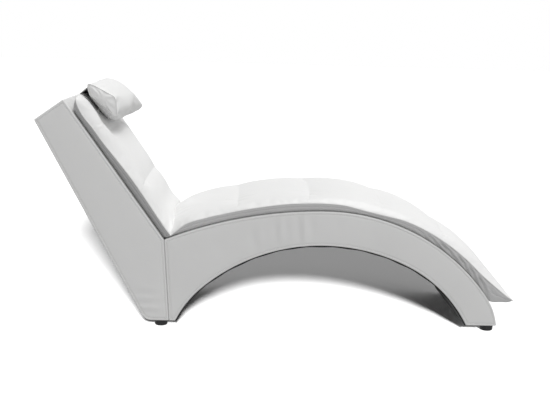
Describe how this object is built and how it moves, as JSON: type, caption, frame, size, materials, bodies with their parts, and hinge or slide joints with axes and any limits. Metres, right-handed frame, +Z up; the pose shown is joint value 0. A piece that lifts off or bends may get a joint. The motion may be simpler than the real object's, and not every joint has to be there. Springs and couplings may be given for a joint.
{
  "type": "chaise longue",
  "caption": "Armless chaise longue: a leaning wedge back bolted to an arched seat, both upholstered, with a loose folded mattress and a head pillow that flips back.",
  "frame": {"origin": "on the floor, under the middle of the bounding box", "axes": "+X from the back towards the foot end, +Y to the sitter's left, +Z up"},
  "size_m": [1.55, 0.51, 0.7844],
  "materials": {
    "cover": "soft white upholstery leather with a fine grain, satin",
    "foam": "open upholstery foam and wadding, matt",
    "lining": "black spun-bonded lining, matt",
    "zipper": "woven tape with a moulded coil",
    "foot": "moulded black plastic, satin",
    "steel": "zinc-plated steel",
    "timber": "sawn softwood",
    "plywood": "unfinished plywood and hardboard"
  },
  "bodies": {
    "frame": {"seat_side_panel_left": "plywood", "seat_side_panel_right": "plywood", "seat_deck": "plywood", "seat_rail_rear": "timber", "seat_rail_middle": "timber", "seat_rail_crown": "timber", "seat_rail_slope": "timber", "seat_rail_toe": "timber", "seat_end_board": "plywood", "seat_foot_block_left": "timber", "seat_foot_block_right": "timber", "seat_top_padding": "foam", "seat_side_padding_left": "foam", "seat_side_padding_right": "foam", "seat_cover": "cover", "seat_lining": "lining", "back_side_panel_left": "plywood", "back_side_panel_right": "plywood", "back_front_board": "plywood", "back_rear_board": "plywood", "back_rail_low": "timber", "back_rail_high": "timber", "back_top_rail": "timber", "back_end_board": "plywood", "back_foot_block_left": "timber", "back_foot_block_right": "timber", "back_front_padding": "foam", "back_rear_padding": "foam", "back_side_padding_left": "foam", "back_side_padding_right": "foam", "back_cover": "cover", "back_lining": "lining", "foot_rear_left": "foot", "foot_rear_right": "foot", "foot_front_left": "foot", "foot_front_right": "foot", "foot_screws": "steel", "joining_bolts": "steel", "joining_nuts": "steel", "joining_washers": "steel"},
    "mattress": {"mattress_foam": "foam", "mattress_cover": "cover", "mattress_zipper": "zipper", "mattress_zip_slider": "steel", "pillow_flap_anchor": "cover"},
    "head_pillow": {"pillow_fill": "foam", "pillow_cover": "cover", "pillow_zipper": "zipper", "pillow_flap": "cover"}
  },
  "joints": [
    {"name": "mattress_lift", "type": "slide", "parent": "frame", "child": "mattress", "axis": [0, 0, 1], "range_m": [0, 0.65]},
    {"name": "pillow_fold", "type": "hinge", "parent": "mattress", "child": "head_pillow", "pos_m": [-0.63862, 0, 0.74651], "axis": [0, -1, 0], "range_deg": [0, 120]}
  ]
}
